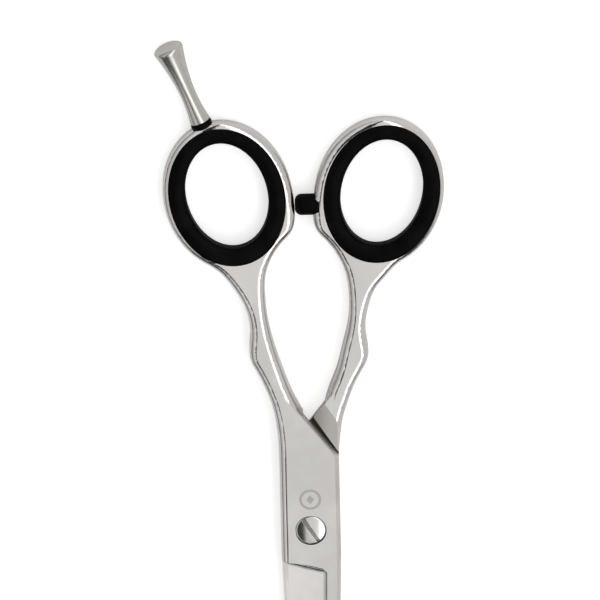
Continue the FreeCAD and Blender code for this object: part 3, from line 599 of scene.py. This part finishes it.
def pivotScrew():
    shape = screwShape
    low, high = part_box("pivot_screw")
    top = high.z
    crown = top - shape["dome"]
    foot = crown - shape["headHeight"]
    head, rim = shape["head"], shape["rimRound"]
    rows = [(0, shape["threadHeight"] - 0.0001), (shape["shoulder"] - 0.00008, shape["threadHeight"] - 0.0001),
            (shape["shoulder"], shape["threadHeight"]), (shape["shoulder"], foot), (head - 0.0001, foot),
            (head, foot + 0.0001)]
    for i in range(0, 9):
        turn = math.pi / 2 * i / 8
        rows.append((head - rim + rim * math.cos(turn), crown - rim + rim * math.sin(turn)))
    flat = head - rim
    for i in range(1, 16):
        share = i / 16
        rows.append((flat * (1 - share), crown + shape["dome"] * (1 - (1 - share) ** 2)))
    rows.append((0, top))
    piece = turnedMesh("screwHead", rows, shape["steps"], Matrix.Identity(4), screwSteel)

    bpy.ops.mesh.primitive_cube_add(size=1)
    cutter = bpy.context.object
    cutter.data.transform(Matrix.Translation((0, 0, top - shape["slotDepth"] / 2 + 0.0005))
                          @ Matrix.Rotation(math.radians(shape["slotTurn"]), 4, "Z")
                          @ Matrix.Diagonal((0.01, shape["slotWidth"], shape["slotDepth"] + 0.001, 1)))
    cut = piece.modifiers.new("slot", "BOOLEAN")
    cut.operation = "DIFFERENCE"
    cut.solver = "EXACT"
    cut.object = cutter
    bevel = piece.modifiers.new("softEdges", "BEVEL")
    bevel.width = shape["slotEdge"]
    bevel.segments = 2
    bevel.limit_method = "ANGLE"
    bevel.angle_limit = math.radians(40)
    bpy.context.view_layer.update()
    mesh = bpy.data.meshes.new_from_object(piece.evaluated_get(bpy.context.evaluated_depsgraph_get()))
    piece.modifiers.clear()
    piece.data = mesh
    bpy.data.objects.remove(cutter)
    mesh.shade_smooth()
    mesh.set_sharp_from_angle(angle=math.radians(35))
    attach(piece, "tension_screw")
    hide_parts("pivot_screw")

    rows = [(0, low.z), (shape["threadRoot"], low.z)]
    rows += threaded(shape["thread"], shape["threadRoot"], shape["pitch"], low.z + 0.00004, shape["threadHeight"])
    rows += [(0, shape["threadHeight"])]
    thread = turnedMesh("screwThread", rows, shape["steps"], Matrix.Identity(4), screwSteel)
    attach(thread, "tension_screw")


pivotScrew()
print("pivot screw made")


# ---- floor, light and camera

stage = {"floorSize": 3.0, "floorDrop": 0.0001, "floorShade": (0.92, 0.92, 0.915, 1), "floorGlow": 0.55}


def makeFloor():
    mesh = bpy.data.meshes.new("floor")
    half = stage["floorSize"] / 2
    height = cadBox[0].z - stage["floorDrop"]
    corners = [(-half, -half, height), (half, -half, height), (half, half, height), (-half, half, height)]
    mesh.from_pydata(corners, [], [(0, 1, 2, 3)])
    floor = bpy.data.objects.new("floor", mesh)
    bpy.context.scene.collection.objects.link(floor)
    material, shader, wire = newMaterial("paleFloor", Roughness=0.9, Specular_IOR_Level=0.1, Emission_Strength=1.0)
    coordinates = wire.node("ShaderNodeTexCoord", output="Object")
    clouds = wire.noise(coordinates, 4.0, 2.0)
    shade = stage["floorShade"]
    seen = wire.node("ShaderNodeLightPath", output="Is Camera Ray") * stage["floorGlow"]
    feed(shader, wire, Base_Color=wire.blend(clouds, shade, tuple(0.985 * part for part in shade[:3]) + (1,)),
         Emission_Color=wire.node("ShaderNodeCombineColor", None, {0: seen, 1: seen, 2: seen}))
    mesh.materials.append(material)


# brightness of the light tent from the left horizon (0) over the top (0.5) to the right horizon (1)
tent = [(0.0, 0.12), (0.05, 0.16), (0.11, 0.46), (0.27, 0.66), (0.30, 0.86), (0.36, 0.62), (0.38, 0.03),
        (0.446, 0.03), (0.465, 0.72), (0.50, 0.76), (0.55, 0.80), (0.58, 1.9), (0.66, 1.9), (0.70, 0.66),
        (0.82, 0.60), (0.92, 0.62), (1.0, 0.58)]


def makeLight():
    world = bpy.data.worlds.new("lightTent")
    world.use_nodes = True
    bpy.context.scene.world = world
    tree = world.node_tree
    tree.nodes.clear()
    wire = Wire(tree)
    direction = wire.node("ShaderNodeTexCoord", output="Generated")
    x, y, z = wire.parts(direction)
    across = wire.math("ARCTAN2", x, z) / math.pi + 0.5
    stops = [(place, (bright / 2, bright / 2, bright / 2, 1)) for place, bright in tent]
    tentLight = wire.node("ShaderNodeValToRGB", {"stops": stops}, {0: across})
    front = y.smooth(-0.90, -0.55)  # the tent is open, and dark, low in front of the tip
    tentLight = wire.blend(front, (0.02, 0.02, 0.022, 1), tentLight)
    seen = wire.node("ShaderNodeLightPath", output="Is Camera Ray")
    shade = wire.blend(seen, tentLight, (0.5, 0.5, 0.5, 1))
    light = wire.node("ShaderNodeBackground", None, {"Color": shade, "Strength": 2.0})
    output = tree.nodes.new("ShaderNodeOutputWorld")
    tree.links.new(light.socket, output.inputs["Surface"])


view = {"fieldWidth": 0.114, "lens": 900.0, "sensor": 36.0, "elevation": 68.0, "roll": 1.34,
        "aim": (-0.00106, 0.04757)}


def makeCamera():
    camera = bpy.data.cameras.new("camera")
    camera.lens = view["lens"]
    camera.sensor_width = view["sensor"]
    camera.clip_start = 0.01
    camera.clip_end = 10.0
    rig = bpy.data.objects.new("camera", camera)
    bpy.context.scene.collection.objects.link(rig)
    elevation = math.radians(view["elevation"])
    roll = math.radians(view["roll"])
    level = Vector((1, 0, 0))
    climb = Vector((0, math.sin(elevation), -math.cos(elevation)))
    right = level * math.cos(roll) - climb * math.sin(roll)
    up = level * math.sin(roll) + climb * math.cos(roll)
    back = right.cross(up)
    distance = view["fieldWidth"] * view["lens"] / view["sensor"]
    aim = Vector((*view["aim"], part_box("front_half")[1].z))
    rig.matrix_world = Matrix.Translation(aim + back * distance) @ Matrix((right, up, back)).transposed().to_4x4()
    bpy.context.scene.camera = rig


bpy.context.scene.view_settings.view_transform = "Standard"
makeFloor()
makeLight()
makeCamera()
print("floor, light and camera made")
